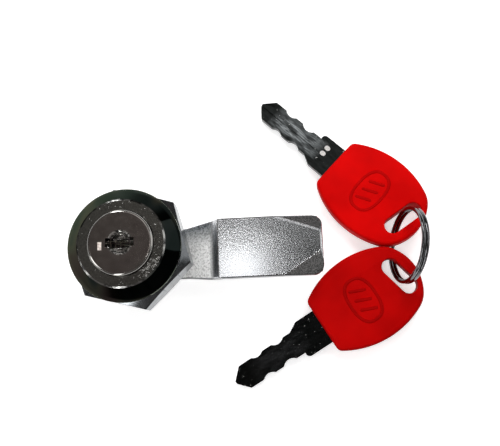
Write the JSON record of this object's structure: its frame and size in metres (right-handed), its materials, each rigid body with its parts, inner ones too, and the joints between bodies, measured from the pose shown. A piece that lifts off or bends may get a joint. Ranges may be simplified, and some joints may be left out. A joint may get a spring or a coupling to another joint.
{
  "type": "cam lock",
  "caption": "Round-headed cam lock with a threaded barrel, hexagon nut and cranked cam, and a pair of plastic-headed keys on a split ring.",
  "frame": {"origin": "centre of the flange's underside, on the lock's axis, where the flange seats on the panel", "axes": "+Z out of the panel towards the key side, +X along the cam at rest"},
  "size_m": [0.0909, 0.077, 0.0276],
  "materials": {
    "black_chrome": "dark mirror chrome",
    "plug_chrome": "dark satin chrome",
    "wafer_brass": "stamped",
    "steel": "drawn wire",
    "zinc_steel": "bright zinc plated",
    "nut_steel": "dark zinc plated",
    "cast_zinc": "grainy cast zinc",
    "key_nickel": "nickel plated",
    "red_plastic": "satin moulded",
    "ring_chrome": "polished wire"
  },
  "bodies": {
    "lock": {"lock_body": "black_chrome"},
    "plug_set": {"plug": "plug_chrome", "wafer_springs": "steel", "stop_washer": "zinc_steel", "cam": "cast_zinc", "spring_washer": "zinc_steel", "cam_screw": "zinc_steel"},
    "clamp": {"toothed_washer": "zinc_steel"},
    "nut": {"hex_nut": "nut_steel"},
    "ring": {"split_ring": "ring_chrome"},
    "key_1": {"key_blade_1": "key_nickel", "key_head_1": "red_plastic"},
    "key_2": {"key_blade_2": "key_nickel", "key_head_2": "red_plastic"},
    "wafer_1_body": {"wafer_1": "wafer_brass"},
    "wafer_2_body": {"wafer_2": "wafer_brass"},
    "wafer_3_body": {"wafer_3": "wafer_brass"},
    "wafer_4_body": {"wafer_4": "wafer_brass"},
    "wafer_5_body": {"wafer_5": "wafer_brass"},
    "wafer_6_body": {"wafer_6": "wafer_brass"}
  },
  "joints": [
    {"name": "plug_turn", "type": "hinge", "parent": "lock", "child": "plug_set", "pos_m": [0, 0, 0], "axis": [0, 0, 1], "range_deg": [0, 90]},
    {"name": "wafer_1_slide", "type": "slide", "parent": "plug_set", "child": "wafer_1_body", "axis": [-1, 0, 0], "range_m": [0, 0.0006], "stiffness_N_per_m": 60, "springref_m": 0.0011},
    {"name": "wafer_2_slide", "type": "slide", "parent": "plug_set", "child": "wafer_2_body", "axis": [1, 0, 0], "range_m": [0, 0.0006], "stiffness_N_per_m": 60, "springref_m": 0.0011},
    {"name": "wafer_3_slide", "type": "slide", "parent": "plug_set", "child": "wafer_3_body", "axis": [-1, 0, 0], "range_m": [0, 0.0006], "stiffness_N_per_m": 60, "springref_m": 0.0011},
    {"name": "wafer_4_slide", "type": "slide", "parent": "plug_set", "child": "wafer_4_body", "axis": [1, 0, 0], "range_m": [0, 0.0006], "stiffness_N_per_m": 60, "springref_m": 0.0011},
    {"name": "wafer_5_slide", "type": "slide", "parent": "plug_set", "child": "wafer_5_body", "axis": [-1, 0, 0], "range_m": [0, 0.0006], "stiffness_N_per_m": 60, "springref_m": 0.0011},
    {"name": "wafer_6_slide", "type": "slide", "parent": "plug_set", "child": "wafer_6_body", "axis": [1, 0, 0], "range_m": [0, 0.0006], "stiffness_N_per_m": 60, "springref_m": 0.0011},
    {"name": "nut_travel", "type": "slide", "parent": "lock", "child": "clamp", "axis": [0, 0, -1], "range_m": [0, 0.0025]},
    {"name": "nut_turn", "type": "hinge", "parent": "clamp", "child": "nut", "pos_m": [0, 0, 0], "axis": [0, 0, 1], "range_deg": [0, 600]},
    {"name": "keys_slide", "type": "slide", "parent": "lock", "child": "ring", "axis": [1, 0, 0], "range_m": [0, 0.05]},
    {"name": "key_1_swing", "type": "hinge", "parent": "ring", "child": "key_1", "pos_m": [0.0689, -0.0011, -0.01299], "axis": [0.9541, -0.1171, -0.2756], "range_deg": [0, 60]},
    {"name": "key_2_swing", "type": "hinge", "parent": "ring", "child": "key_2", "pos_m": [0.0689, -0.0011, -0.01299], "axis": [-0.9541, 0.1171, 0.2756], "range_deg": [0, 60]}
  ],
  "couplings": [
    {"joint": "nut_turn", "follows": "nut_travel", "rad_per_m": 4188.8}
  ]
}
